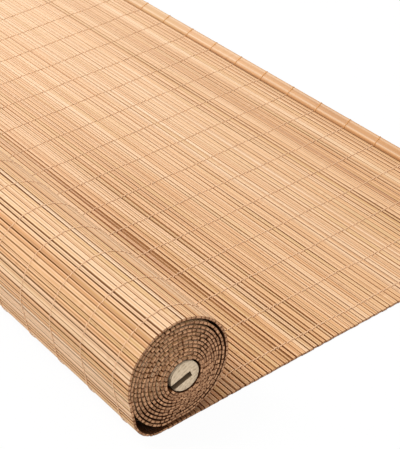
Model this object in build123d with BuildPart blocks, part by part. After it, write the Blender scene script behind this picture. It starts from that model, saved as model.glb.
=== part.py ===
from build123d import *
import os
from math import asin, degrees, pi, sin, sqrt

# A bamboo roll blind, partly unrolled and lying on a floor.
# X runs along the slats, Y is the way the blind unrolls and Z is up.
# The origin is on the floor, under the middle of the whole blind.

# Slats of the mat
SLAT_LENGTH = 915.0
SLAT_THICKNESS = 2.0
SLAT_PITCH = 4.0
GROOVE_WIDTH = 0.5
GROOVE_DEPTH = 0.6
FLAT_SLATS = 88

# See-through slits between the flat slats
SLIT_WIDTH = 0.25

# Wooden rod with a slot that the lower end of the mat is tucked into
ROD_DIAMETER = 24.2
ROD_END_CHAMFER = 0.8
ROD_SLOT_WIDTH = 3.6
ROD_SLOT_DEPTH = 17.0
ROD_SLOT_TILT = 16.0
ROD_SLOT_DROP = 2.2
TUCKED_SLATS = 4

# Roll, with its inner turns pushed out of one end, each a little further than the one round it
WHOLE_TURNS = 11
ROD_CLEARANCE = 0.25
TURN_CLEARANCE = 0.25
OUTER_TURN_GAP = 0.7
INNER_TURN_PUSH = 5.6
PUSH_CURVE = 1.5
ROD_PROUD = 0.3
ROLL_TO_SHEET_CLEARANCE = 2.6

# Outermost turn, sprung loose on its far side, which leaves the roll through a wide bend.
# The loose stretch is counted in degrees back along the turn from where it leaves.
LEAVING_ANGLE = 185.0
LOOSE_BULGE = 1.8
LOOSE_FROM = 15.0
LOOSE_TO = 265.0
BEND_RADIUS = 22.0

# Wide batten along the upper end of the mat
BATTEN_WIDTH = 13.5
BATTEN_THICKNESS = 3.4
BATTEN_CHAMFER = 0.6

# Warp threads that tie the slats in rows, as many as fit along the slats, and wrap round the batten
THREAD_SPACING = 40.0
THREAD_END_MARGIN = 15.0
THREAD_WIDTH = 0.9
THREAD_THICKNESS = 0.3
THREAD_CLEARANCE = 0.2
THREAD_START = 14.0

FULL_TURN = 360.0
LEFT_SIDE = 180.0
QUARTER_TURN = 90.0

half_thickness = SLAT_THICKNESS / 2
half_groove = GROOVE_WIDTH / 2
rod_radius = ROD_DIAMETER / 2
rod_push = INNER_TURN_PUSH + ROD_PROUD

# Directions of the rod's slot in a cross-section, into the rod and across the slot
slot_inward = Vector(1, 0).rotate(Axis.Z, ROD_SLOT_TILT)
slot_across = slot_inward.rotate(Axis.Z, QUARTER_TURN)

# The tucked slats lie on the slot's lower wall, and the mat bends where it meets the first turn.
tuck_drop = ROD_SLOT_DROP + ROD_SLOT_WIDTH / 2 - half_thickness
first_radius = rod_radius + ROD_CLEARANCE + half_thickness
start_angle = LEFT_SIDE + ROD_SLOT_TILT + degrees(asin(tuck_drop / first_radius))
tuck_mouth = slot_inward * -sqrt(first_radius**2 - tuck_drop**2) - slot_across * tuck_drop

# The spiral runs from there to the angle at which the mat leaves the roll.
sweep = FULL_TURN * WHOLE_TURNS + LEAVING_ANGLE - start_angle
turns = sweep / FULL_TURN
chord_rise = SLAT_PITCH**2 / (8 * rod_radius)
inner_turn_gap = chord_rise + TURN_CLEARANCE


def bulge(back):
    """How far the outermost turn stands off, this angle back from where it leaves the roll."""
    if not LOOSE_FROM < back < LOOSE_TO:
        return 0.0
    return LOOSE_BULGE * sin(pi * (back - LOOSE_FROM) / (LOOSE_TO - LOOSE_FROM)) ** 2


def spiral_point(angle):
    """Middle line of the rolled mat, seen from the rod's centre, this angle on from the slot."""
    share = angle / sweep
    gaps = inner_turn_gap * share + (OUTER_TURN_GAP - inner_turn_gap) * share**2 / 2
    radius = first_radius + turns * (SLAT_THICKNESS * share + gaps) + bulge(sweep - angle)
    return Vector(radius, 0).rotate(Axis.Z, start_angle + angle)


def angle_one_slat_on(angle):
    """Where the next joint of the mat lies on the spiral, one slat further out."""
    joint = spiral_point(angle)
    step = degrees(SLAT_PITCH / joint.length)
    for _ in range(3):
        step *= SLAT_PITCH / (spiral_point(angle + step) - joint).length
    return angle + step


# The springy bend holds the foot of the outermost whole turn just clear of the flat sheet, which
# sets the height of the rod.
roll_foot = spiral_point(sweep - (LEAVING_ANGLE + QUARTER_TURN))
rod_height = SLAT_THICKNESS + ROLL_TO_SHEET_CLEARANCE + half_thickness - roll_foot.Y
rod_centre = Vector(0, rod_height)

# Joints between the slats on the middle line of the mat, first in the slot and then round the turns
joints = [tuck_mouth + slot_inward * SLAT_PITCH * i for i in range(TUCKED_SLATS, 0, -1)]
turn_starts = [0]
angle = 0.0
while angle < sweep:
    if angle > len(turn_starts) * sweep / WHOLE_TURNS:
        turn_starts.append(len(joints))
    joints.append(spiral_point(angle))
    angle = angle_one_slat_on(angle)
joints = [rod_centre + joint for joint in joints]

# Then the mat drops down the side of the roll, bends on to the floor and lies flat for two slats.
heading = Vector(0, 1).rotate(Axis.Z, LEAVING_ANGLE)
inward = heading.rotate(Axis.Z, QUARTER_TURN)
bend_radius = BEND_RADIUS - half_thickness
roll_end = rod_centre + spiral_point(sweep)
drop = roll_end.Y - (BEND_RADIUS - inward.Y * bend_radius)
bend_top = roll_end - heading * drop / heading.Y
bend_foot = bend_top + inward * bend_radius - Vector(0, bend_radius)
with BuildLine() as leaving_line:
    Line(roll_end, bend_top)
    RadiusArc(bend_top, bend_foot, -bend_radius)
    Line(bend_foot, bend_foot + Vector(2 * SLAT_PITCH, 0))
leaving = leaving_line.wire()
reach = SLAT_PITCH - (roll_end - joints[-1]).length
while reach < leaving.length:
    joints.append(leaving.position_at(reach, PositionMode.LENGTH))
    reach += SLAT_PITCH

# Places along Y, from the rod's centre
blind_start = spiral_point(sweep - (LEAVING_ANGLE - LEFT_SIDE)).X - half_thickness
flat_start = joints[-1].X
flat_end = flat_start + FLAT_SLATS * SLAT_PITCH
batten_start = flat_end + THREAD_THICKNESS + THREAD_CLEARANCE
batten_end = batten_start + BATTEN_WIDTH
blind_end = batten_end + THREAD_THICKNESS

# Cross-sections are drawn from the rod's centre along Y, half way along the unpushed slats.
middle = Vector(-rod_push / 2, -(blind_start + blind_end) / 2)
section = Plane(origin=middle, x_dir=(0, 1, 0), z_dir=(1, 0, 0))
plan = Plane(origin=middle)

# Direction of each slat and its outer side, then the foot of the groove and the closed side at
# each joint
alongs = [(end - start).normalized() for start, end in zip(joints, joints[1:])]
outs = [along.rotate(Axis.Z, -QUARTER_TURN) for along in alongs]
bisectors = [(a + b).normalized() for a, b in zip(outs[:1] + outs, outs + outs[-1:])]
groove_feet = [joint + out * (half_thickness - GROOVE_DEPTH) for joint, out in zip(joints, bisectors)]
closed_sides = [joint - bisector * half_thickness / bisector.dot(out)
                for joint, bisector, out in zip(joints, bisectors, outs + outs[-1:])]


def rolled_outline(first, last):
    """Outline of the rolled slats between two joints, grooved outside and closed up inside."""
    outer = [groove_feet[first]]
    for i in range(first, last):
        outer.append(joints[i] + outs[i] * half_thickness + alongs[i] * half_groove)
        outer.append(joints[i + 1] + outs[i] * half_thickness - alongs[i] * half_groove)
        outer.append(groove_feet[i + 1])
    return outer + closed_sides[first:last + 1][::-1]


def flat_outline():
    """Outline of the flat slats: plain below, with a groove at each joint on top."""
    groove_foot = SLAT_THICKNESS - GROOVE_DEPTH
    points = [(flat_end, 0), (flat_start, 0), (flat_start, groove_foot)]
    for i in range(FLAT_SLATS):
        joint = flat_start + i * SLAT_PITCH
        points.append((joint + half_groove, SLAT_THICKNESS))
        points.append((joint + SLAT_PITCH - half_groove, SLAT_THICKNESS))
        points.append((joint + SLAT_PITCH, groove_foot))
    return points


os.makedirs("parts", exist_ok=True)

# Wooden rod at the lower end of the mat, with its slot open to the low left side of the roll
with BuildPart() as core_rod:
    with BuildSketch(section.offset(rod_push)):
        with Locations(rod_centre):
            Circle(rod_radius)
        slot_end = rod_centre - slot_across * ROD_SLOT_DROP - slot_inward * (rod_radius - ROD_SLOT_DEPTH)
        with Locations(Location(slot_end, (0, 0, ROD_SLOT_TILT))):
            Rectangle(ROD_DIAMETER, ROD_SLOT_WIDTH, align=(Align.MAX, Align.CENTER), mode=Mode.SUBTRACT)
    extrude(amount=SLAT_LENGTH / 2, both=True)
    ends = core_rod.faces().filter_by(Axis.X)
    chamfer(ends.edges().filter_by(GeomType.CIRCLE), ROD_END_CHAMFER)
core_rod.part.label = "core_rod"
export_step(core_rod.part, "parts/core_rod.step")

# All the rolled slats, from the tucked end to the foot of the wide bend, turn by turn
with BuildPart() as roll_slats:
    for turn, (first, last) in enumerate(zip(turn_starts, turn_starts[1:] + [len(joints) - 1])):
        push = INNER_TURN_PUSH * (1 - turn / (WHOLE_TURNS - 1)) ** PUSH_CURVE
        with BuildSketch(section.offset(push)):
            with BuildLine():
                Polyline(*rolled_outline(first, last), close=True)
            make_face()
    extrude(amount=SLAT_LENGTH / 2, both=True)
roll_slats.part.label = "roll_slats"
export_step(roll_slats.part, "parts/roll_slats.step")

# Flat slats, slit through at each joint between the outermost rows of thread
thread_spaces = int((SLAT_LENGTH - 2 * THREAD_END_MARGIN) / THREAD_SPACING)
thread_run = thread_spaces * THREAD_SPACING
with BuildPart() as flat_slats:
    with BuildSketch(section):
        with BuildLine():
            Polyline(*flat_outline(), close=True)
        make_face()
    extrude(amount=SLAT_LENGTH / 2, both=True)
    with BuildSketch(plan):
        with Locations((0, (flat_start + flat_end) / 2)):
            with GridLocations(0, SLAT_PITCH, 1, FLAT_SLATS - 1):
                Rectangle(thread_run, SLIT_WIDTH)
    extrude(amount=SLAT_THICKNESS, mode=Mode.SUBTRACT)
flat_slats.part.label = "flat_slats"
export_step(flat_slats.part, "parts/flat_slats.step")

# Wide batten, which lies on the threads that wrap it
with BuildPart() as end_batten:
    with BuildSketch(section):
        with Locations((batten_start, THREAD_THICKNESS)):
            Rectangle(BATTEN_WIDTH, BATTEN_THICKNESS, align=Align.MIN)
    extrude(amount=SLAT_LENGTH / 2, both=True)
    chamfer(end_batten.edges().filter_by(Axis.X), BATTEN_CHAMFER)
end_batten.part.label = "end_batten"
export_step(end_batten.part, "parts/end_batten.step")

# Rows of thread: each lies across the tops of the flat slats and goes once round the batten
thread_start = roll_foot.X + THREAD_START
for row in range(thread_spaces + 1):
    row_x = row * THREAD_SPACING - thread_run / 2
    with BuildPart() as warp_thread:
        with BuildSketch(section.offset(row_x)):
            with Locations((thread_start, SLAT_THICKNESS)):
                Rectangle(batten_start - thread_start, THREAD_THICKNESS, align=Align.MIN)
            with Locations((batten_start - THREAD_THICKNESS, 0)):
                wrap = 2 * THREAD_THICKNESS
                Rectangle(BATTEN_WIDTH + wrap, BATTEN_THICKNESS + wrap, align=Align.MIN)
            with Locations((batten_start, THREAD_THICKNESS)):
                Rectangle(BATTEN_WIDTH, BATTEN_THICKNESS, align=Align.MIN, mode=Mode.SUBTRACT)
        extrude(amount=THREAD_WIDTH / 2, both=True)
    name = f"warp_thread_{row + 1:02d}"
    warp_thread.part.label = name
    export_step(warp_thread.part, f"parts/{name}.step")
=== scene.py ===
"""A bamboo roll blind, partly unrolled on a floor: slat by slat, with its threads, batten and rod."""

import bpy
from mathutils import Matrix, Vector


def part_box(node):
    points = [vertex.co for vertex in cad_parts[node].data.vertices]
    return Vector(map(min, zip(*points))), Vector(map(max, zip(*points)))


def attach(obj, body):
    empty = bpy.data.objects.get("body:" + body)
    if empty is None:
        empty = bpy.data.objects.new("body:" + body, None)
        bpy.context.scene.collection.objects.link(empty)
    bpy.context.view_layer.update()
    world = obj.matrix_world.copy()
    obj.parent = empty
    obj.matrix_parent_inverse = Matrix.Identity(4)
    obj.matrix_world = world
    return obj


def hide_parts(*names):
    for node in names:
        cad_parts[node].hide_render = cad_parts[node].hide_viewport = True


bl_info = {
    "name": "Bamboo Roll Blind",
    "version": (1, 0, 0),
    "blender": (4, 5, 0),
    "location": "View3D > Sidebar > Bamboo Blind",
    "description": "Builds the slats, threads, batten and slotted rod of a partly unrolled bamboo blind",
    "category": "Object",
}

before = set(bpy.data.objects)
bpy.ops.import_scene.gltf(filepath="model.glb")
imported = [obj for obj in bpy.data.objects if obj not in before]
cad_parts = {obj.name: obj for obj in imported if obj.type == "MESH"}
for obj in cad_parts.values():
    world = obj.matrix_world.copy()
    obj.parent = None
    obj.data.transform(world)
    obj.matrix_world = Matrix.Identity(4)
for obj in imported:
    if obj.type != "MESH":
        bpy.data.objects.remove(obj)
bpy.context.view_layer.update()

import math
import random

import bpy
from bpy.props import FloatProperty, FloatVectorProperty, IntProperty, PointerProperty
from mathutils import Matrix, Vector, noise

ROD_LOW, ROD_HIGH = (Vector(corner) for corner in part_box("core_rod"))
FLAT_LOW, FLAT_HIGH = (Vector(corner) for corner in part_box("flat_slats"))
BATTEN_LOW, BATTEN_HIGH = (Vector(corner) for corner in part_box("end_batten"))
THREAD_NODES = sorted(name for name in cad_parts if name.startswith("warp_thread"))

# The roll
TIGHT_STRETCH = math.radians(60)  # Last stretch of the spiral, in which no turn sags
STEP_CORRECTIONS = 3  # Times that a step along the spiral is corrected to the slats' pitch
FLOOR_SLATS = 2  # Slats on the floor between the bend and the flat stretch
PLACING_ERROR = 0.0003  # Most that the roll may lie off the rod
OUTER_TURNS = 2.2  # Turns that show along their length
INNER_STAGGER = 2  # How much more unevenly the inner turns are cut off

# The slats
SLAT_PIECES, HIDDEN_PIECES = 24, 2  # Pieces along a slat that shows, and along one inside the roll
SLAT_CLEARANCE = 0.00002  # Between the feet of two slats
OPENING_LENGTH, FAR_OPENING = 0.75, 0.2  # Run over which the gaps open, and how open the far ends are
BENDS_PER_METRE, SWELLS_PER_METRE = 7, 6
SWELL, LEAST_SWELL = 1.6, 0.15  # How much a gap changes along its length, and its least share
SWELL_ROW = 5.0  # Row of the noise that the gaps swell by
GAP_RARITY = 3  # The higher, the fewer gaps are wide
STEM_RUNS = (1, 1, 1, 1, 2, 2, 3)  # Numbers of neighbours that are split from one stem
STEM_TONES, STEM_WEIGHTS = (0.12, 0.34, 0.50, 0.64, 0.82), (4, 16, 32, 32, 16)
MIDDLE_TONE, OWN_TONE = 0.56, 0.06  # Tone that all are drawn towards, and how far one strays from its stem
ROLL_SPREAD, FLAT_SPREAD = 0.8, 0.7  # How much the tones differ from the middle one
# Painted shade beside the roll: the tone that the brown band of slats is given
BROWN_SHARE, BROWN_TONE = 0.2, 0.1  # What the brown slats keep of their tone, and what is added
SHARP_ANGLE = math.radians(50)  # Least angle between faces that shows as an edge

# The batten
BATTEN_PIECES = 32
BATTEN_CORNER = 0.0014
BATTEN_TAPER = 0.0001
BATTEN_TONE = (0.22, 0.3, 0.4, 1.0)  # As the four numbers of a slat's tone

# The threads
TIED_TURNS = 1.1  # Outer turns that the threads are drawn on
THREAD_SIDES = 6
THREAD_LIFT = 0.42  # Share of its height that a thread's middle lies off the slats
WANDER_STEP = 0.13  # How quickly a row strays
CROSSING = 0.38  # Where a thread leaves a slat's face, as a share of the slat from its middle
TWIST = 1.2  # How far the two threads of a pair cross
WRAP_WIDTH, WRAP_LIFT = 0.85, 0.4  # Width and height over the batten, as shares of the thread's
WRAP_BEFORE = 0.2  # Share of the slanting run that lies on the row's near side
KNOT_SHADE = 0.65  # Darkness between a knot's strands

# The rod
ROD_SIDES = 72

# The finishes
NOISE_APART = 53.0  # How far apart in the noise two slats lie
STEM_NODES_PER_METRE = 3.1
# Painted sheen that makes the far end paler and more even
SHEEN_FROM, SHEEN_LENGTH, SHEEN_SHARE = 0.42, 0.75, 0.55  # Start, run and strength of the fading
STRANDS_PER_METRE = 900.0

# The stage
LAMPS = (  # Name, watts, size, place and target of each
    ("key", 42.0, 1.0, (-0.7, -0.95, 2.2), (0, 0, 0)),
    ("back", 12.5, 1.4, (-2.0, 0.9, 1.25), (-0.4, 0, 0)),
    ("fill", 7.0, 2.0, (1.6, -0.4, 1.8), (0, 0, 0)))
SOFT_LIGHT = 0.58  # Strength of the light from all round
FLOOR_REACH, FLOOR_DROP = 6.0, 0.0001
FLOOR_GLOW = 0.96  # How much of the floor's shadow the white background covers


# Sizes and colours

def metres(name, description, default):
    """A length in metres, shown to a hundredth of a millimetre."""
    return FloatProperty(name=name, description=description, default=default, unit="LENGTH", precision=5)


def degrees(name, description, default):
    """An angle, with its default in degrees."""
    return FloatProperty(name=name, description=description, default=math.radians(default), subtype="ANGLE")


def tint(name, description, default):
    """A colour, in linear values."""
    return FloatVectorProperty(name=name, description=description, default=default, subtype="COLOR", size=3)


class BLIND_PG_slats(bpy.types.PropertyGroup):
    """Sizes of the slats and of the roll that they make."""

    pitch: metres("Pitch", "From one slat to the next", 0.004)
    thickness: metres("Thickness", "Thickness of a slat", 0.002)
    gap: metres("Gap", "Narrowest gap between slats", 0.00008)
    wide_gap: metres("Wide gap", "How much wider the widest gaps are", 0.00105)
    foot_gap: metres("Foot gap", "How much wider the gaps are at the foot of the roll", 0.0005)
    foot_slats: IntProperty(
        name="Foot slats", description="Flat slats over which the wider gaps close up again", default=34)
    # Painted shade of the roll on the flat stretch: a brown band of slats beside the roll, and darker slats
    # under and before it
    shadow_band_from: IntProperty(
        name="Brown from", description="First of the brown slats that show beside the roll", default=25)
    shadow_band_to: IntProperty(name="Brown to", description="Flat slat after the last brown one", default=28)
    near_roll_shade: FloatProperty(
        name="Warmer", description="How much darker the flat slats beside and under the roll are",
        default=0.10)
    shift: metres("Shift", "How far a joint strays, which makes slats wide and narrow", 0.0006)
    corner: metres("Corner", "Rounding along a slat's long edges", 0.0004)
    end_stagger: metres("End stagger", "How unevenly the slats are cut off", 0.0005)
    proud: metres("Proud", "How far the thinnest slats lie lower than the thickest", 0.0002)
    uneven: metres("Uneven", "How far a rolled slat lies in or out of its turn", 0.00012)
    bow: metres("Bow", "How far a slat strays from straight", 0.00018)
    seed: IntProperty(name="Seed", description="Changes every slat's own shape and tone", default=11)


class BLIND_PG_roll(bpy.types.PropertyGroup):
    """Sizes of the spiral, of its loose and sagging turns and of the bend down to the floor."""

    turns: IntProperty(name="Turns", description="Whole turns of the mat round the rod", default=11)
    rod_clearance: metres("Rod clearance", "From the rod to the first turn", 0.00025)
    turn_clearance: metres("Turn clearance", "Between the inner turns", 0.00025)
    outer_gap: metres("Outer gap", "Between the outer turns", 0.0007)
    push: metres("Push", "How far the innermost turn has slid out of the roll", 0.0069)
    push_curve: FloatProperty(
        name="Push curve", description="How quickly the slide dies away outwards", default=1.5)
    leaving_angle: degrees("Leaving angle", "Where the mat leaves the roll", 185)
    bulge: metres("Bulge", "How far the loose outer turn stands off", 0.0018)
    bulge_inside: FloatProperty(
        name="Bulge inside", description="How much of that the next turn in takes part in", default=0.35)
    loose_from: degrees("Loose from", "Start of the loose stretch, back from the leaving angle", 15)
    loose_to: degrees("Loose to", "End of the loose stretch, back from the leaving angle", 265)
    sag: metres("Sag", "How far the turns hang loose low on the side where the mat leaves the roll", 0.0034)
    sag_first: IntProperty(
        name="Sag first", description="Turn from the rod at which the sag begins to grow", default=2)
    sag_over: IntProperty(
        name="Sag over", description="Turns over which the sag grows to its full depth", default=8)
    sag_from: degrees("Sag from", "Angle at which the sag begins", 163)
    sag_most: degrees("Sag most", "Angle of the deepest sag", 239)
    sag_to: degrees("Sag to", "Angle at which the turns lie tight again", 268)
    bend_radius: metres("Bend radius", "Bend from the roll to the floor", 0.022)
    # Painted shadow of the roll on the flat slats: how bright the darkest slats stay, and the stretch over
    # which they brighten
    shade: FloatProperty(
        name="Shade", description="Brightness of the grimy slats under the roll", default=0.22)
    shade_from: metres("Shade from", "Place of the last grimy slat, from under the rod", 0.004)
    shade_to: metres("Shade to", "Place of the first clean slat, from under the rod", 0.040)
    sheet_clearance: metres("Sheet clearance", "From the roll down to the flat slats", 0.0026)


class BLIND_PG_rod(bpy.types.PropertyGroup):
    """Sizes and colours of the slotted wooden rod."""

    diameter: metres("Diameter", "Diameter of the rod", 0.0242)
    shrunk: metres("Shrunk", "How much the rod has shrunk on each side", 0.0002)
    lean: metres("Lean", "How far the rod has settled towards the flat stretch", 0.0002)
    slot_width: metres("Slot width", "Width of the slot", 0.0036)
    slot_wear: metres("Slot wear", "How much wider the slot has worn", 0.0013)
    slot_depth: metres("Slot depth", "Depth of the slot", 0.017)
    slot_tilt: degrees("Slot tilt", "Tilt of the slot", 16)
    slot_drop: metres("Slot drop", "From the rod's centre to the slot's middle", 0.0022)
    end_chamfer: metres("End chamfer", "Worn rim of the rod's ends", 0.0004)
    tucked_slats: IntProperty(name="Tucked slats", description="Slats in the slot", default=4)
    tucked_recess: metres("Tucked recess", "How far the slats in the slot end short of the rod", 0.012)
    pale: tint("Pale wood", "Lightest tone of the rod", (0.77, 0.605, 0.42))
    # Painted shade on the rod's sides and in its slot
    recess_shade: tint("Aged wood", "Dirty sides of the rod and of its slot", (0.21, 0.14, 0.08))
    dark: tint("Wood grain", "Grain lines of the rod", (0.50, 0.36, 0.22))


class BLIND_PG_thread(bpy.types.PropertyGroup):
    """Sizes and colours of the threads."""

    width: metres("Width", "Width of one thread, pressed flat", 0.0009)
    height: metres("Height", "Height of one thread, pressed flat", 0.0005)
    sway: metres("Sway", "How far the two threads of a pair swing apart", 0.00042)
    wander: metres("Wander", "How far a row strays from straight", 0.0012)
    wrap_slant: metres("Wrap slant", "Sideways run of the thread over the batten", 0.0055)
    light: tint("Light thread", "Lightest tone of the thread", (0.90, 0.61, 0.38))
    dark: tint("Dark thread", "Tone between the thread's strands", (0.62, 0.33, 0.155))
    knot: tint("Knot", "Tone of the wraps and knots on the batten", (0.84, 0.42, 0.15))


class BLIND_PG_bamboo(bpy.types.PropertyGroup):
    """Tones of the bamboo, from the darkest slat to the palest."""

    brown: tint("Brown", "Pinkish-brown slats", (0.44, 0.19, 0.075))
    orange: tint("Orange", "Orange slats", (0.67, 0.34, 0.135))
    honey: tint("Honey", "Most of the slats", (0.76, 0.445, 0.225))
    pale: tint("Pale", "Palest slats", (0.86, 0.595, 0.375))
    # Painted highlight along the ridges of the slats
    highlighted: tint("Rubbed", "Ridges rubbed pale", (0.92, 0.70, 0.49))
    stained: tint("Stained", "Yellowish stains", (0.62, 0.37, 0.135))
    # Painted sheen: the even, pale tone that the far end is drawn to
    sheen_tone: tint("Faded", "Even tone of the far end", (0.80, 0.55, 0.36))
    # Dark tone of dirt and painted shade: the slats' sides in the gaps, their inner faces, the roll's painted
    # shadow and the rims of the cut ends
    dirt_and_shade: tint("Dirt", "Dark sides of the slats", (0.13, 0.036, 0.007))
    end_torn: tint("Torn end", "Torn spots on the cut ends", (0.74, 0.47, 0.28))
    end_light: tint("Light end", "Cut ends, lightest", (0.80, 0.44, 0.235))
    end_dark: tint("Dark end", "Cut ends, darkest", (0.26, 0.125, 0.06))


# The mat's path, seen from the +X end: y is across the floor and z is up

def clamped(share):
    """The share, kept from 0 to 1."""
    return min(max(share, 0.0), 1.0)


def turned(angle, length=1.0):
    """A vector of this length at this angle."""
    return Vector((math.cos(angle), math.sin(angle))) * length


def loose(roll, back):
    """How far the outermost turn stands off, this angle back from where it leaves the roll."""
    if not roll.loose_from < back < roll.loose_to:
        return 0.0
    return roll.bulge * math.sin(math.pi * (back - roll.loose_from) / (roll.loose_to - roll.loose_from))**2


def sagging(roll, angle, turn):
    """How far a turn hangs loose at this angle: not at all at the rod, and more with each turn outwards."""
    angle %= math.tau
    if not roll.sag_from < angle < roll.sag_to:
        return 0.0
    span = roll.sag_most - (roll.sag_from if angle < roll.sag_most else roll.sag_to)
    share = clamped((turn - roll.sag_first) / roll.sag_over)
    return roll.sag * share * math.cos(math.pi / 2 * (angle - roll.sag_most) / span)**2


def bend_joints(slats, roll, end, height, reach):
    """Joints down off the spiral's end, round the bend and along the floor, the first at this reach."""
    heading, inward = turned(roll.leaving_angle + math.pi / 2), turned(roll.leaving_angle + math.pi)
    bend = roll.bend_radius - slats.thickness / 2
    fall = (height + end.y - roll.bend_radius + inward.y * bend) / -heading.y
    turn_left = math.tau - roll.leaving_angle - math.pi / 2
    centre = end + heading * fall + inward * bend
    length = fall + bend * turn_left + FLOOR_SLATS * slats.pitch
    joints = []
    while reach < length:
        if reach < fall:
            joints.append(end + heading * reach)
        elif reach < fall + bend * turn_left:
            joints.append(centre + turned(roll.leaving_angle + (reach - fall) / bend, bend))
        else:
            joints.append(centre + Vector((reach - fall - bend * turn_left, -bend)))
        reach += slats.pitch
    return joints


def mat_path(scene):
    """The joints between the slats, each slat's turn, and the rod's centre.

    The joints are (y, z) places, from the slot through the roll to the flat stretch.
    """
    slats, roll, rod = scene.blind_slats, scene.blind_roll, scene.blind_rod
    half = slats.thickness / 2
    inward, across = turned(rod.slot_tilt), turned(rod.slot_tilt + math.pi / 2)
    drop = rod.slot_drop + rod.slot_width / 2 - half
    first = rod.diameter / 2 + roll.rod_clearance + half
    start = math.pi + rod.slot_tilt + math.asin(drop / first)
    mouth = inward * -math.sqrt(first**2 - drop**2) - across * drop
    sweep = math.tau * roll.turns + roll.leaving_angle - start
    turns = sweep / math.tau
    inner_gap = slats.pitch**2 / (4 * rod.diameter) + roll.turn_clearance

    def spiral(angle):
        """Place on the spiral, this angle on from the slot."""
        share = angle / sweep
        gaps = inner_gap * share + (roll.outer_gap - inner_gap) * share**2 / 2
        radius = first + turns * (slats.thickness * share + gaps) + loose(roll, sweep - angle)
        return turned(start + angle, radius)

    joints = [mouth + inward * slats.pitch * i for i in range(rod.tucked_slats, 0, -1)]
    slat_turns = [0.0] * len(joints)
    angle = 0.0
    while angle < sweep:
        here = spiral(angle)
        inside = roll.bulge_inside * loose(roll, sweep - angle - math.tau)
        if sweep - angle > TIGHT_STRETCH:
            inside += sagging(roll, start + angle, angle / sweep * roll.turns)
        joints.append(here + here.normalized() * inside)
        slat_turns.append(angle / sweep * roll.turns)
        step = slats.pitch / here.length
        for _ in range(STEP_CORRECTIONS):
            step *= slats.pitch / (spiral(angle + step) - here).length
        angle += step
    foot = spiral(sweep - roll.leaving_angle - math.pi / 2)
    height = slats.thickness + roll.sheet_clearance + half - foot.y
    end = spiral(sweep)
    bent = bend_joints(slats, roll, end, height, slats.pitch - (end - joints[-1]).length)
    joints += bent
    slat_turns += [float(roll.turns)] * len(bent)
    rod_centre = Vector((FLAT_LOW.y - joints[-1].x, height))
    middle = (ROD_LOW + ROD_HIGH) / 2
    if (rod_centre - Vector((middle.y, middle.z))).length > PLACING_ERROR:
        raise RuntimeError("The roll doesn't meet both the rod and the flat stretch")
    return [rod_centre + joint for joint in joints], slat_turns, rod_centre


# Meshes

class Builder:
    """Gathers vertices, faces, tones and texture places for one mesh."""

    def __init__(self):
        self.points, self.faces, self.face_materials = [], [], []
        self.tones, self.places = [], []

    def bar(self, rings, tones, places, material=0, end_material=1):
        """A closed bar through rings of points, with its own end faces."""
        count = len(rings[0])
        base = len(self.points)
        for ring in rings:
            self.points.extend(ring)
        self.tones.extend(tones)
        self.places.extend(places)
        for r in range(len(rings) - 1):
            for i in range(count):
                j = (i + 1) % count
                a = base + r * count
                self.faces.append((a + i, a + j, a + count + j, a + count + i))
                self.face_materials.append(material)
        self.faces.append(tuple(base + i for i in reversed(range(count))))
        self.faces.append(tuple(base + (len(rings) - 1) * count + i for i in range(count)))
        self.face_materials.extend([end_material, end_material])

    def make(self, name, materials):
        """A new object with what was gathered, shaded smooth but for its sharp edges."""
        mesh = bpy.data.meshes.new(name)
        mesh.from_pydata([tuple(p) for p in self.points], [], self.faces)
        mesh.update()
        for material in materials:
            mesh.materials.append(material)
        mesh.polygons.foreach_set("material_index", self.face_materials)
        tone = mesh.attributes.new("tone", "FLOAT_COLOR", "POINT")
        tone.data.foreach_set("color", [value for tone in self.tones for value in tone])
        place = mesh.attributes.new("place", "FLOAT_VECTOR", "POINT")
        place.data.foreach_set("vector", [value for place in self.places for value in place])
        mesh.shade_smooth()
        mesh.set_sharp_from_angle(angle=SHARP_ANGLE)
        piece = bpy.data.objects.new(name, mesh)
        bpy.context.scene.collection.objects.link(piece)
        return piece


def slat_section(base, width, thickness, corner):
    """Cross-section of a slat as (across, out) points: a broad base and a narrower top with round corners."""
    b, w, t, c = base / 2, width / 2, thickness / 2, corner
    side = [(b, -t), (b, -t * 0.25), (w, -t * 0.1), (w, t - c), (w - c * 0.3, t - c * 0.32),
            (w - c * 1.1, t - c * 0.06)]
    return side + [(0, t)] + [(-across, up) for across, up in reversed(side)]


def looseness(x):
    """Share of a gap that is open at this place along the slats, which lie closest at the far end."""
    share = clamped((x - FLAT_LOW.x) / OPENING_LENGTH)
    return FAR_OPENING + (1 - FAR_OPENING) * share * share * (3 - 2 * share)


def add_slat(builder, slats, dice, middle, along, out, base, gap, ends, tone, pieces):
    """One slat between its ends along X, as a bar that wanders and swells a little."""
    lower = slats.proud * dice.random()
    phase = dice.uniform(0, 100)
    rings, tones, places = [], [], []
    for i in range(pieces + 1):
        x = ends[0] + (ends[1] - ends[0]) * i / pieces
        stray = noise.noise((phase, x * BENDS_PER_METRE, 0.0)) * slats.bow * 2
        swell = max(1 + SWELL * noise.noise((phase, x * SWELLS_PER_METRE, SWELL_ROW)), LEAST_SWELL)
        width = base - gap * looseness(x) * swell
        ring = []
        for across, up in slat_section(base - SLAT_CLEARANCE, width, slats.thickness, slats.corner):
            top = up > 0
            place = middle + along * (across + (stray if top else 0.0)) + out * (up - (lower if top else 0.0))
            ring.append(Vector((x, place.x, place.y)))
            places.append((x, across / width * 2, up / slats.thickness * 2))
            tones.append(tone)
        rings.append(ring)
    builder.bar(rings, tones, places)


def slat_tones(dice, count, spread):
    """Tone, stem place, own number and brightness of each slat, the brightness carrying painted shade:
    neighbours are often split from one stem.
    """
    tones, run = [], 0
    for _ in range(count):
        if run == 0:
            run = dice.choice(STEM_RUNS)
            stem = dice.choices(STEM_TONES, STEM_WEIGHTS)[0]
        run -= 1
        tone = clamped(MIDDLE_TONE + (stem + dice.gauss(0, OWN_TONE) - MIDDLE_TONE) * spread)
        tones.append([tone, dice.random(), dice.random(), 1.0])
    return tones


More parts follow.
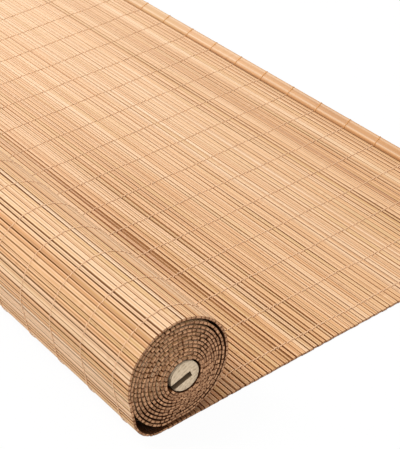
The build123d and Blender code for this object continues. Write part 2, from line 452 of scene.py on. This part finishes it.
def paint_roll_shadow(roll, tones, places):
    """Painted shadow of the roll: darkens the flat slats by how near each is to the line that the roll would
    touch.
    """
    for tone, place in zip(tones, places):
        share = clamped((place - roll.shade_from) / (roll.shade_to - roll.shade_from))
        tone[3] = roll.shade + (1 - roll.shade) * share


def random_gap(slats, dice):
    """Width of a gap: most are narrow and a few are wide."""
    return slats.gap + slats.wide_gap * dice.random()**GAP_RARITY


def jittered(dice, count, spread):
    """Random shifts to either side."""
    return [dice.uniform(-spread, spread) for _ in range(count)]


# Materials

def new_material(name):
    """A new material, its nodes and its shader."""
    material = bpy.data.materials.new(name)
    material.use_nodes = True
    tree = material.node_tree
    shader = tree.nodes["Principled BSDF"]
    return material, tree, shader


def add_node(tree, kind, inputs=(), **settings):
    """A node whose inputs are linked or set, each by its name or number."""
    node = tree.nodes.new(kind)
    for name, value in settings.items():
        setattr(node, name, value)
    for key, value in dict(inputs).items():
        if isinstance(value, bpy.types.NodeSocket):
            tree.links.new(value, node.inputs[key])
        else:
            node.inputs[key].default_value = value
    return node


def maths(tree, operation, a, b=0.0, clamp=False):
    """Result of one step of arithmetic."""
    node = add_node(tree, "ShaderNodeMath", {0: a, 1: b}, operation=operation, use_clamp=clamp)
    return node.outputs[0]


def times(tree, a, b):
    """Product of two values."""
    return maths(tree, "MULTIPLY", a, b)


def ramp(tree, factor, stops):
    """Colour at this place between the stops, each a position and a colour."""
    node = add_node(tree, "ShaderNodeValToRGB", {"Fac": factor})
    band = node.color_ramp
    band.elements[0].position, band.elements[0].color = stops[0][0], (*stops[0][1], 1)
    band.elements[1].position, band.elements[1].color = stops[-1][0], (*stops[-1][1], 1)
    for position, colour in stops[1:-1]:
        band.elements.new(position).color = (*colour, 1)
    return node.outputs["Color"]


def grey_ramp(tree, factor, stops):
    """Value at this place between the stops, each a position and a value."""
    return ramp(tree, factor, [(position, (value,) * 3) for position, value in stops])


def mixed(tree, factor, a, b, blend="MIX"):
    """Two colours mixed by this factor."""
    node = add_node(tree, "ShaderNodeMix", data_type="RGBA", blend_type=blend)
    for key, value in ((0, factor), (6, a), (7, b)):
        if isinstance(value, bpy.types.NodeSocket):
            tree.links.new(value, node.inputs[key])
        else:
            node.inputs[key].default_value = value if key == 0 else (*value, 1)
    return node.outputs[2]


def add_bump(tree, shader, height, strength, depth):
    """Fine relief that follows this height."""
    bump = add_node(tree, "ShaderNodeBump", {"Strength": strength, "Distance": depth, "Height": height})
    tree.links.new(bump.outputs[0], shader.inputs["Normal"])


def slat_places(tree):
    """Place along a slat, across it (-1 to 1) and through it (-1 to 1), and the slat's four tone numbers."""
    place = add_node(tree, "ShaderNodeAttribute", attribute_name="place")
    parts = add_node(tree, "ShaderNodeSeparateXYZ", {0: place.outputs["Vector"]})
    tone = add_node(tree, "ShaderNodeAttribute", attribute_name="tone")
    tones = add_node(tree, "ShaderNodeSeparateColor", {0: tone.outputs["Color"]})
    return parts.outputs, (*tones.outputs, tone.outputs["Alpha"])


def grain_noise(tree, number, along, across, detail):
    """Noise drawn out along X, and different in each slat."""
    where = add_node(tree, "ShaderNodeTexCoord").outputs["Object"]
    parts = add_node(tree, "ShaderNodeSeparateXYZ", {0: where}).outputs
    own_place = times(tree, number, NOISE_APART)
    vector = add_node(tree, "ShaderNodeCombineXYZ", {
        0: maths(tree, "ADD", times(tree, parts[0], along), own_place),
        1: times(tree, parts[1], across),
        2: times(tree, parts[2], across)}).outputs[0]
    inputs = {"Vector": vector, "Scale": 1.0, "Detail": detail}
    return add_node(tree, "ShaderNodeTexNoise", inputs).outputs[0]


def added(tree, base, factor, strength):
    """Base with a noise round 0.5 added to it, this strongly."""
    return maths(tree, "ADD", base, times(tree, maths(tree, "SUBTRACT", factor, 0.5), strength))


def stem_colour(tree, colours, tones, streak, fibre):
    """A slat's own tone with streaks, patches, yellowish stains and fine fibres."""
    patch = grain_noise(tree, tones[2], 7.0, 30.0, 2.0)
    stain = grain_noise(tree, tones[1], 4.5, 20.0, 1.0)
    shade = added(tree, added(tree, tones[0], streak, 0.85), patch, 0.45)
    colour = ramp(tree, shade, [(0.05, colours.brown), (0.32, colours.orange), (0.60, colours.honey),
                                (0.95, colours.pale)])
    colour = mixed(tree, grey_ramp(tree, stain, [(0.52, 0.0), (0.70, 0.6)]), colour, colours.stained)
    return mixed(tree, 1.0, colour, grey_ramp(tree, fibre, [(0.34, 0.86), (0.62, 1.0)]), "MULTIPLY")


def stem_nodes(tree, colours, colour, along, stem_place):
    """The colour with the stem's nodes, at their own place in each slat, and how pale the nodes' rims are."""
    place = maths(tree, "ADD", times(tree, along, STEM_NODES_PER_METRE), stem_place)
    ring = maths(tree, "ABSOLUTE", maths(tree, "SUBTRACT", maths(tree, "FRACT", place), 0.5))
    dark_ring = grey_ramp(tree, ring, [(0.0, 0.24), (0.003, 0.16), (0.007, 0.0)])
    pale_rim = grey_ramp(tree, ring, [(0.004, 0.0), (0.010, 0.16), (0.025, 0.0)])
    colour = mixed(tree, dark_ring, colour, colours.brown)
    return mixed(tree, pale_rim, colour, colours.pale), pale_rim


def split_line(tree, across, tones):
    """How strongly a line shows where many slats are split a second time, each at its own place."""
    middle = maths(tree, "SUBTRACT", times(tree, tones[1], 1.4), 0.7)
    distance = maths(tree, "ABSOLUTE", maths(tree, "SUBTRACT", across, middle))
    has_line = maths(tree, "GREATER_THAN", tones[2], 0.45)
    return times(tree, grey_ramp(tree, distance, [(0.06, 0.8), (0.24, 0.0)]), has_line)


def bamboo_material(colours, name, dirt_and_shade, sheen_strength):
    """Split bamboo: each slat's tone, stains, streaks, fibres and stem nodes, with painted highlights on the
    ridges, dirt and painted shade on the sides, painted shade on the edges and inner faces, and a painted
    sheen towards the far end.
    """
    material, tree, shader = new_material(name)
    parts, tones = slat_places(tree)
    streak = grain_noise(tree, tones[2], 5.0, 800.0, 3.0)
    fibre = grain_noise(tree, tones[2], 24.0, 3600.0, 2.0)
    colour = stem_colour(tree, colours, tones, streak, fibre)
    colour, pale_rim = stem_nodes(tree, colours, colour, parts[0], tones[1])

    # Painted sheen: the far end is drawn to an even, paler tone
    far_sheen = maths(tree, "DIVIDE", maths(tree, "SUBTRACT", SHEEN_FROM, parts[0]), SHEEN_LENGTH, True)
    far_sheen = times(tree, far_sheen, sheen_strength)
    colour = mixed(tree, times(tree, far_sheen, SHEEN_SHARE), colour, colours.sheen_tone)

    # Painted highlight along the ridges; painted shade on the edges and inner faces, dirt and painted shade
    # on the sides, and darker split lines
    across = maths(tree, "ABSOLUTE", parts[1])
    # Painted highlight along each slat's crown
    ridge_highlight = grey_ramp(tree, across, [(0.30, 0.0), (0.50, 0.36), (0.64, 0.36), (0.76, 0.0)])
    colour = mixed(tree, ridge_highlight, colour, colours.highlighted)
    # Painted shade on the rounded edges, stronger in some slats and weaker where the painted sheen is
    edge_shade_share = times(tree, tones[1], maths(tree, "SUBTRACT", 1.0, far_sheen))
    edge = times(tree, grey_ramp(tree, across, [(0.70, 0.0), (0.90, 0.8)]), edge_shade_share)
    colour = mixed(tree, edge, colour, colours.brown)
    colour = mixed(tree, split_line(tree, parts[1], tones), colour, colours.brown)
    sheen_free = maths(tree, "SUBTRACT", 1.0, times(tree, far_sheen, 0.95))
    # Dirt and painted shade in the gaps: each slat's sides are darker, by a random share for each slat and
    # less where the painted sheen is
    side = times(tree, grey_ramp(tree, across, [(0.88, 0.0), (0.97, dirt_and_shade)]), sheen_free)
    side = times(tree, side, maths(tree, "ADD", 0.35, times(tree, tones[2], 0.65)))
    colour = mixed(tree, side, colour, colours.dirt_and_shade)
    # Painted shade on the inner faces: the undersides of the slats, seen inside the roll and between its
    # turns
    inner = grey_ramp(tree, times(tree, parts[2], -1.0), [(0.2, 0.0), (0.6, dirt_and_shade * 0.97)])
    colour = mixed(tree, inner, colour, tuple(c * 0.4 for c in colours.dirt_and_shade))
    # Painted shadow of the roll: the fourth tone number draws the colour to the dark tone
    colour = mixed(tree, tones[3], colours.dirt_and_shade, colour)
    tree.links.new(colour, shader.inputs["Base Color"])
    tree.links.new(grey_ramp(tree, streak, [(0.3, 0.62), (0.7, 0.46)]), shader.inputs["Roughness"])
    gloss = grey_ramp(tree, across, [(0.80, 0.22), (0.93, 0.0)])
    tree.links.new(gloss, shader.inputs["Specular IOR Level"])
    height = maths(tree, "ADD", fibre, times(tree, pale_rim, 4.0))
    add_bump(tree, shader, height, 0.35, 0.0002)
    return material


def slat_end_material(colours):
    """Sawn ends of the slats: brown, darker towards their rims as painted shade in the gaps, with the dots of
    cut fibres and torn pale spots.
    """
    material, tree, shader = new_material("sawn_bamboo_ends")
    parts, tones = slat_places(tree)
    where = add_node(tree, "ShaderNodeTexCoord").outputs["Object"]
    dots = add_node(tree, "ShaderNodeTexVoronoi", {"Vector": where, "Scale": 1300.0}).outputs["Distance"]
    wear = add_node(tree, "ShaderNodeTexNoise", {"Vector": where, "Scale": 700.0, "Detail": 3.0}).outputs[0]
    tone = added(tree, maths(tree, "ADD", times(tree, tones[2], 0.35), 0.25), wear, 1.2)
    colour = ramp(tree, tone, [(0.05, colours.end_dark), (0.75, colours.end_light), (1.0, colours.end_torn)])
    colour = mixed(tree, 1.0, colour, grey_ramp(tree, dots, [(0.15, 0.4), (0.45, 1.0)]), "MULTIPLY")
    # Painted shade: each cut end is darker towards its rim, where it meets the gaps
    rim = maths(tree, "MAXIMUM", maths(tree, "ABSOLUTE", parts[1]), maths(tree, "ABSOLUTE", parts[2]))
    colour = mixed(tree, grey_ramp(tree, rim, [(0.68, 0.0), (0.96, 0.95)]), colour, colours.dirt_and_shade)
    tree.links.new(colour, shader.inputs["Base Color"])
    shader.inputs["Roughness"].default_value = 0.85
    shader.inputs["Specular IOR Level"].default_value = 0.25
    add_bump(tree, shader, dots, 0.6, 0.0002)
    return material


def thread_material(name, light, dark):
    """Twisted thread: slanting strands along its length, matt, with a faint sheen."""
    material, tree, shader = new_material(name)
    parts, tones = slat_places(tree)
    lay = maths(tree, "ADD", times(tree, parts[0], STRANDS_PER_METRE), parts[1])
    strands = maths(tree, "ABSOLUTE", maths(tree, "SINE", times(tree, lay, math.pi)))
    fuzz = grain_noise(tree, tones[1], 900.0, 60.0, 2.0)
    colour = ramp(tree, added(tree, strands, fuzz, 0.8), [(0.18, dark), (0.75, light)])
    tree.links.new(colour, shader.inputs["Base Color"])
    shader.inputs["Roughness"].default_value = 0.8
    shader.inputs["Specular IOR Level"].default_value = 0.2
    shader.inputs["Sheen Weight"].default_value = 0.05
    add_bump(tree, shader, strands, 0.6, 0.0001)
    return material


def rod_material(rod):
    """Bare softwood: arcs of growth rings on the end, long grain along the side, rough saw marks, and painted
    shade on the sides and in the slot.
    """
    material, tree, shader = new_material("bare_rod_wood")
    where = add_node(tree, "ShaderNodeTexCoord").outputs["Object"]
    middle = (ROD_LOW + ROD_HIGH) / 2

    # The growth rings are round the heart of the tree, which lies outside the rod
    moved = add_node(tree, "ShaderNodeMapping", {
        "Vector": where, "Location": (0, -middle.y - 0.016, -middle.z + 0.024),
        "Scale": (0.04, 1.0, 1.0)}).outputs[0]
    rings = add_node(tree, "ShaderNodeTexWave", {
        "Vector": moved, "Scale": 118.0, "Distortion": 2.2, "Detail": 3.0, "Detail Scale": 1.2},
        wave_type="RINGS", rings_direction="X").outputs["Fac"]
    coarse = add_node(tree, "ShaderNodeTexNoise", {"Vector": moved, "Scale": 420.0, "Detail": 4.0}).outputs[0]
    pores = add_node(tree, "ShaderNodeTexNoise", {"Vector": moved, "Scale": 2600.0, "Detail": 2.0}).outputs[0]
    tone = added(tree, maths(tree, "ADD", times(tree, rings, 0.14), 0.12), coarse, 0.6)
    palest = tuple(min(c * 1.1, 1) for c in rod.pale)
    colour = ramp(tree, tone, [(0.0, rod.dark), (0.20, rod.pale), (0.5, palest)])
    colour = mixed(tree, 1.0, colour, grey_ramp(tree, pores, [(0.36, 0.92), (0.52, 1.0)]), "MULTIPLY")

    # Painted shade: the sides and the slot are darker by their depth from the sawn end in centimetres
    parts = add_node(tree, "ShaderNodeSeparateXYZ", {0: where}).outputs
    from_middle = maths(tree, "ABSOLUTE", maths(tree, "SUBTRACT", parts[0], middle.x))
    depth = maths(tree, "SUBTRACT", (ROD_HIGH.x - ROD_LOW.x) / 2, from_middle)
    depth = times(tree, depth, 100.0)
    colour = mixed(tree, grey_ramp(tree, depth, [(0.09, 0.0), (0.2, 0.8)]), colour, rod.recess_shade)
    from_axis = add_node(tree, "ShaderNodeVectorMath", {
        0: add_node(tree, "ShaderNodeCombineXYZ", {1: parts[1], 2: parts[2]}).outputs[0],
        1: (0, middle.y, middle.z)}, operation="DISTANCE").outputs["Value"]
    inside = maths(tree, "LESS_THAN", from_axis, rod.diameter / 2 - rod.end_chamfer)
    # Painted shade inside the slot, by its depth
    slot_shade_share = times(tree, inside, grey_ramp(tree, depth, [(0.002, 0.0), (0.02, 0.95)]))
    colour = mixed(tree, slot_shade_share, colour, rod.recess_shade)
    tree.links.new(colour, shader.inputs["Base Color"])
    shader.inputs["Roughness"].default_value = 0.78
    shader.inputs["Specular IOR Level"].default_value = 0.3
    add_bump(tree, shader, maths(tree, "ADD", pores, coarse), 0.5, 0.0003)
    return material


# Operators

def finish_piece(builder, name, materials, replaces):
    """Makes a piece from its builder, gives it its materials and body, and hides the CAD part that it
    replaces.
    """
    piece = builder.make(name, [bpy.data.materials[material] for material in materials])
    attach(piece, "root")
    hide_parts(replaces)


class BLIND_OT_rolled_slats(bpy.types.Operator):
    """Build the slats of the roll, with its inner turns slid out of one end"""

    bl_idname = "blind.rolled_slats"
    bl_label = "Rolled Slats"

    def execute(self, context):
        scene = context.scene
        slats, roll, rod = scene.blind_slats, scene.blind_roll, scene.blind_rod
        dice = random.Random(slats.seed)
        joints, slat_turns, _ = mat_path(scene)
        count = len(joints) - 1
        tones = slat_tones(dice, count, ROLL_SPREAD)
        shifts = [0.0] + jittered(dice, count - 1, slats.shift) + [0.0]
        builder = Builder()
        for i in range(count):
            along = (joints[i + 1] - joints[i]).normalized()
            out = Vector((along.y, -along.x))
            outer = slat_turns[i] > roll.turns - OUTER_TURNS
            first, last = shifts[i], shifts[i + 1]
            gap = random_gap(slats, dice)
            middle = (joints[i] + joints[i + 1]) / 2 + along * (first + last) / 2
            middle += out * dice.uniform(-slats.uneven, slats.uneven)
            # The slide is whole for half a turn round the rod, and dies away to none at the outermost turn
            turn = min(max(slat_turns[i + 1] - 0.5, 0.0), roll.turns - 1)
            slide = roll.push * (1 - turn / (roll.turns - 1))**roll.push_curve
            recess = rod.tucked_recess if i < rod.tucked_slats else 0.0
            stagger = slats.end_stagger * (1 if outer else INNER_STAGGER)
            ends = (FLAT_LOW.x + slide + dice.uniform(0, stagger),
                    FLAT_HIGH.x + slide - recess - dice.uniform(0, stagger))
            add_slat(builder, slats, dice, middle, along, out, slats.pitch - first + last, gap, ends,
                     tones[i], SLAT_PIECES if outer else HIDDEN_PIECES)
        finish_piece(builder, "rolled_bamboo", ("split_bamboo", "sawn_bamboo_ends"), "roll_slats")
        return {"FINISHED"}


def flat_count(slats):
    """Number of slats in the flat stretch."""
    return round((FLAT_HIGH.y - FLAT_LOW.y) / slats.pitch)


class BLIND_OT_flat_slats(bpy.types.Operator):
    """Build the slats of the flat stretch"""

    bl_idname = "blind.flat_slats"
    bl_label = "Flat Slats"

    def execute(self, context):
        slats = context.scene.blind_slats
        dice = random.Random(slats.seed + 1)
        count = flat_count(slats)
        tones = slat_tones(dice, count, FLAT_SPREAD)
        # Painted shade of the roll: the band beside it is brown, and the slats under it are darker
        for tone in tones[slats.shadow_band_from:slats.shadow_band_to]:
            tone[0] = tone[0] * BROWN_SHARE + BROWN_TONE
        for tone in tones[:slats.shadow_band_from]:
            tone[0] = max(tone[0] - slats.near_roll_shade, 0.0)
        # Painted shadow of the roll on the flat slats
        under_rod = mat_path(context.scene)[2].x
        paint_roll_shadow(context.scene.blind_roll, tones,
                          [FLAT_LOW.y + (i + 0.5) * slats.pitch - under_rod for i in range(count)])
        shifts = [0.0] + jittered(dice, count - 1, slats.shift) + [0.0]
        builder = Builder()
        for i in range(count):
            gap = random_gap(slats, dice)
            gap += slats.foot_gap * max(1 - abs(i - slats.foot_slats / 2) / slats.foot_slats, 0.0)
            low = FLAT_LOW.y + i * slats.pitch + shifts[i]
            high = FLAT_LOW.y + (i + 1) * slats.pitch + shifts[i + 1]
            ends = (FLAT_LOW.x + dice.uniform(0, slats.end_stagger),
                    FLAT_HIGH.x - dice.uniform(0, slats.end_stagger))
            middle = Vector(((low + high) / 2, slats.thickness / 2))
            add_slat(builder, slats, dice, middle, Vector((1, 0)), Vector((0, 1)), high - low, gap, ends,
                     tones[i], SLAT_PIECES)
        finish_piece(builder, "flat_bamboo", ("laid_bamboo", "sawn_bamboo_ends"), "flat_slats")
        return {"FINISHED"}


def tube(builder, line, widths, heights, tone, material):
    """A closed flattened tube through a line of points, for thread."""
    rings, tones, places = [], [], []
    run = 0.0
    for i, point in enumerate(line):
        heading = (line[min(i + 1, len(line) - 1)] - line[max(i - 1, 0)]).normalized()
        side = Vector((1, 0, 0))
        side = (side - heading * side.dot(heading)).normalized()
        up = heading.cross(side)
        if i > 0:
            run += (point - line[i - 1]).length
        ring = []
        for s in range(THREAD_SIDES):
            angle = math.tau * s / THREAD_SIDES
            ring.append(point + side * math.cos(angle) * widths[i] / 2
                        + up * math.sin(angle) * heights[i] / 2)
            places.append((run, s / THREAD_SIDES, 0.0))
            tones.append(tone)
        rings.append(ring)
    builder.bar(rings, tones, places, material, material)


def batten_wrap(builder, thread, middle_x, tone):
    """The thread's slanting turn round the batten, with its knot near the far edge."""
    width, height = thread.width * WRAP_WIDTH, thread.height
    top = BATTEN_HIGH.z + height * WRAP_LIFT
    near, far = BATTEN_LOW.y - height / 2, BATTEN_HIGH.y + height / 2
    start = middle_x + thread.wrap_slant * WRAP_BEFORE
    end = middle_x - thread.wrap_slant * (1 - WRAP_BEFORE)
    corner, foot, low, thin = 0.0012, 0.001, 0.00015, 0.00026

    # Up the batten's near edge, slanting over its top, down its far edge and back under it
    line = [Vector(point) for point in (
        (middle_x, near, low), (start, near, foot), (start, near, top - corner), (start, near + corner, top),
        ((start + end) / 2, (near + far) / 2, top), (end, far - corner, top), (end, far, top - corner),
        (end, far, foot), (end, far - 0.0002, low), (middle_x, near + 0.0004, low))]
    heights = [thin] + [height] * 7 + [thin] * 2
    tube(builder, line, [width] * len(line), heights, tone, 1)

    knot_place, knot_half, knot_width, knot_height, knot_tip = 0.70, 0.0011, 0.0016, 0.0010, 0.12
    heading = Vector((end - start, far - near, 0)).normalized()
    centre = Vector((start, near, top)) + heading * (far - near) * knot_place
    steps = [-1.0, -0.8, -0.3, 0.3, 0.8, 1.0]
    swell = [math.sqrt(1 - step * step) + knot_tip for step in steps]
    tube(builder, [centre + heading * knot_half * step for step in steps],
         [knot_width * size for size in swell], [knot_height * size for size in swell], tone, 1)


class BLIND_OT_warp_threads(bpy.types.Operator):
    """Build the rows of thread pairs that hold the slats together and wrap the batten"""

    bl_idname = "blind.warp_threads"
    bl_label = "Warp Threads"

    def execute(self, context):
        scene = context.scene
        slats, roll, thread = scene.blind_slats, scene.blind_roll, scene.blind_thread
        joints, slat_turns, _ = mat_path(scene)
        start = next(i for i, turn in enumerate(slat_turns) if turn > roll.turns - TIED_TURNS)
        path = joints[start:]
        for i in range(flat_count(slats)):
            path.append(Vector((FLAT_LOW.y + (i + 1) * slats.pitch, slats.thickness / 2)))
        dice = random.Random(slats.seed + 2)
        lift = slats.thickness / 2 + thread.height * THREAD_LIFT
        for row, node in enumerate(THREAD_NODES):
            low, high = (Vector(corner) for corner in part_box(node))
            middle_x = (low.x + high.x) / 2
            phase = dice.uniform(0, 50)
            builder = Builder()
            for strand in (0, 1):
                line = []
                for i, (joint, following) in enumerate(zip(path, path[1:])):
                    along = following - joint
                    out = Vector((along.y, -along.x)).normalized()
                    over = 1 if (i + strand) % 2 else -1
                    stray = noise.noise((phase, i * WANDER_STEP, 0.0)) * thread.wander
                    for share in (-CROSSING, CROSSING):
                        place = (joint + following) / 2 + along * share + out * lift * over
                        x = middle_x + stray + thread.sway * (strand - 0.5 + share * over * TWIST)
                        line.append(Vector((x, place.x, max(place.y, thread.height / 2))))
                tone = (0.5, dice.random(), dice.random(), 1)
                tube(builder, line, [thread.width] * len(line), [thread.height] * len(line), tone, 0)
            batten_wrap(builder, thread, middle_x, tone)
            finish_piece(builder, "warp_pair_%02d" % (row + 1), ("twisted_thread", "knotted_thread"), node)
        return {"FINISHED"}


class BLIND_OT_end_batten(bpy.types.Operator):
    """Build the wide batten along the upper end of the mat"""

    bl_idname = "blind.end_batten"
    bl_label = "End Batten"

    def execute(self, context):
        width, thickness = BATTEN_HIGH.y - BATTEN_LOW.y, BATTEN_HIGH.z - BATTEN_LOW.z
        middle = (BATTEN_LOW + BATTEN_HIGH) / 2
        section = slat_section(width, width - BATTEN_TAPER, thickness, BATTEN_CORNER)
        rings, places = [], []
        for i in range(BATTEN_PIECES + 1):
            x = BATTEN_LOW.x + (BATTEN_HIGH.x - BATTEN_LOW.x) * i / BATTEN_PIECES
            rings.append([Vector((x, middle.y + across, middle.z + up)) for across, up in section])
            places.extend((x, across / width * 2, up / thickness * 2) for across, up in section)
        builder = Builder()
        builder.bar(rings, [BATTEN_TONE] * len(places), places)
        finish_piece(builder, "wide_batten", ("planed_bamboo", "sawn_bamboo_ends"), "end_batten")
        return {"FINISHED"}


class BLIND_OT_core_rod(bpy.types.Operator):
    """Build the slotted wooden rod"""

    bl_idname = "blind.core_rod"
    bl_label = "Core Rod"

    def execute(self, context):
        rod = context.scene.blind_rod
        radius, chamfer = rod.diameter / 2 - rod.shrunk, rod.end_chamfer
        centre = mat_path(context.scene)[2] + Vector((rod.lean, 0))
        inward, across = turned(rod.slot_tilt), turned(rod.slot_tilt + math.pi / 2)
        upper = rod.slot_width / 2 + rod.slot_wear - rod.slot_drop
        lower = -rod.slot_width / 2 - rod.slot_drop
        bottom = rod.slot_depth - radius

        def outline(r):
            """Round from the slot's lower lip to its upper lip, then down the slot and back."""
            first, last = math.pi + math.asin(-lower / r), math.pi + math.asin(-upper / r)
            arc = [first + (last + math.tau - first) * i / (ROD_SIDES - 1) for i in range(ROD_SIDES)]
            points = [turned(a + rod.slot_tilt, r) for a in arc]
            return points + [inward * bottom + across * upper, inward * bottom + across * lower]

        rings = []
        for x, r in ((ROD_LOW.x, radius - chamfer), (ROD_LOW.x + chamfer, radius),
                     (ROD_HIGH.x - chamfer, radius), (ROD_HIGH.x, radius - chamfer)):
            rings.append([Vector((x, *(centre + point))) for point in outline(r)])
        builder = Builder()
        flat = [tuple(point) for ring in rings for point in ring]
        builder.bar(rings, [(0.5, 0.5, 0.5, 1)] * len(flat), flat, 0, 0)
        finish_piece(builder, "slotted_rod", ("bare_rod_wood",), "core_rod")
        return {"FINISHED"}


class BLIND_OT_finishes(bpy.types.Operator):
    """Make the materials of the bamboo, its sawn ends, the thread and the rod"""

    bl_idname = "blind.finishes"
    bl_label = "Finishes"

    def execute(self, context):
        scene = context.scene
        bamboo_material(scene.blind_bamboo, "split_bamboo", dirt_and_shade=1.0, sheen_strength=0.25)
        bamboo_material(scene.blind_bamboo, "laid_bamboo", dirt_and_shade=1.0, sheen_strength=1.0)
        bamboo_material(scene.blind_bamboo, "planed_bamboo", dirt_and_shade=0.12, sheen_strength=1.0)
        slat_end_material(scene.blind_bamboo)
        thread = scene.blind_thread
        thread_material("twisted_thread", thread.light, thread.dark)
        thread_material("knotted_thread", thread.knot, tuple(c * KNOT_SHADE for c in thread.knot))
        rod_material(scene.blind_rod)
        return {"FINISHED"}


def seen_directly(tree):
    """1 for a ray that sees the floor or the background itself, and 0 for one that it only lights."""
    path = add_node(tree, "ShaderNodeLightPath").outputs
    return maths(tree, "MAXIMUM", path["Is Camera Ray"], maths(
        tree, "MAXIMUM", path["Is Glossy Ray"], path["Is Transmission Ray"]))


def floor_material():
    """White floor, nearly as bright as the background, that keeps the shadow of the blind."""
    material, tree, shader = new_material("white_floor")
    shader.inputs["Base Color"].default_value = (0.9, 0.9, 0.9, 1)
    shader.inputs["Roughness"].default_value = 0.9
    shader.inputs["Specular IOR Level"].default_value = 0.1
    glow = add_node(tree, "ShaderNodeEmission", {"Color": (1, 1, 1, 1), "Strength": 1.0})
    mix = add_node(tree, "ShaderNodeMixShader", {0: times(tree, seen_directly(tree), FLOOR_GLOW)})
    tree.links.new(shader.outputs[0], mix.inputs[1])
    tree.links.new(glow.outputs[0], mix.inputs[2])
    tree.links.new(mix.outputs[0], tree.nodes["Material Output"].inputs["Surface"])
    return material


def add_floor(scene):
    """The floor, just under the blind."""
    mesh = bpy.data.meshes.new("floor")
    corners = [(x * FLOOR_REACH, y * FLOOR_REACH, 0) for x, y in ((-1, -1), (1, -1), (1, 1), (-1, 1))]
    mesh.from_pydata(corners, [], [(0, 1, 2, 3)])
    mesh.materials.append(floor_material())
    floor = bpy.data.objects.new("floor", mesh)
    floor.location.z = -FLOOR_DROP
    scene.collection.objects.link(floor)


def add_background(scene):
    """Soft light from all round, and a white background."""
    world = bpy.data.worlds.new("studio")
    scene.world = world
    world.use_nodes = True
    tree = world.node_tree
    background = tree.nodes["Background"]
    background.inputs["Color"].default_value = (1, 1, 1, 1)
    strength = maths(tree, "ADD", SOFT_LIGHT, times(tree, seen_directly(tree), 1 - SOFT_LIGHT))
    tree.links.new(strength, background.inputs["Strength"])


def add_lamp(scene, name, power, size, place, target):
    """A soft square lamp that shines from its place at its target."""
    light = bpy.data.lights.new(name, "AREA")
    light.energy, light.size = power, size
    piece = bpy.data.objects.new(name, light)
    piece.location = place
    piece.rotation_euler = (Vector(target) - Vector(place)).to_track_quat("-Z", "Y").to_euler()
    scene.collection.objects.link(piece)


def add_camera(scene):
    """The camera, where the photo was taken from."""
    camera = bpy.data.cameras.new("camera")
    camera.sensor_fit, camera.sensor_height, camera.lens = "VERTICAL", 36.0, 116.66
    piece = bpy.data.objects.new("camera", camera)
    right = Vector((0.59953, 0.79876, -0.05047))
    up = Vector((-0.43382, 0.37732, 0.81819))
    back = Vector((0.67258, -0.46864, 0.57273))
    turn = Matrix((right, up, back)).transposed().to_4x4()
    beyond_end, before_rod, above_floor = 0.62752, 0.41287, 0.69004
    place = Vector((FLAT_HIGH.x + beyond_end, mat_path(scene)[2].x - before_rod, above_floor))
    piece.matrix_world = Matrix.Translation(place) @ turn
    scene.collection.objects.link(piece)
    scene.camera = piece


class BLIND_OT_stage(bpy.types.Operator):
    """Set up the floor, the soft light, the view settings and the camera"""

    bl_idname = "blind.stage"
    bl_label = "Stage"

    def execute(self, context):
        scene = context.scene
        add_floor(scene)
        add_background(scene)
        for lamp in LAMPS:
            add_lamp(scene, *lamp)
        add_camera(scene)
        scene.view_settings.view_transform = "Standard"
        return {"FINISHED"}


class BLIND_PT_panel(bpy.types.Panel):
    """Builds the blind piece by piece"""

    bl_label = "Bamboo Blind"
    bl_idname = "BLIND_PT_panel"
    bl_space_type = "VIEW_3D"
    bl_region_type = "UI"
    bl_category = "Bamboo Blind"

    def draw(self, context):
        layout = self.layout
        for name, group in GROUPS:
            box = layout.box()
            box.label(text=group.__doc__)
            settings = getattr(context.scene, name)
            for key in group.__annotations__:
                box.prop(settings, key)
        for operator in OPERATORS:
            layout.operator(operator.bl_idname)


GROUPS = [("blind_slats", BLIND_PG_slats), ("blind_roll", BLIND_PG_roll), ("blind_rod", BLIND_PG_rod),
          ("blind_thread", BLIND_PG_thread), ("blind_bamboo", BLIND_PG_bamboo)]
OPERATORS = [BLIND_OT_finishes, BLIND_OT_rolled_slats, BLIND_OT_flat_slats, BLIND_OT_warp_threads,
             BLIND_OT_end_batten, BLIND_OT_core_rod, BLIND_OT_stage]


def register():
    for name, group in GROUPS:
        bpy.utils.register_class(group)
        setattr(bpy.types.Scene, name, PointerProperty(type=group))
    for cls in OPERATORS + [BLIND_PT_panel]:
        bpy.utils.register_class(cls)


def unregister():
    for cls in reversed(OPERATORS + [BLIND_PT_panel]):
        bpy.utils.unregister_class(cls)
    for name, group in reversed(GROUPS):
        delattr(bpy.types.Scene, name)
        bpy.utils.unregister_class(group)


def main():
    register()
    bpy.ops.blind.finishes()
    bpy.ops.blind.rolled_slats()
    bpy.ops.blind.flat_slats()
    bpy.ops.blind.warp_threads()
    bpy.ops.blind.end_batten()
    bpy.ops.blind.core_rod()
    bpy.ops.blind.stage()


if __name__ == "__main__":
    main()
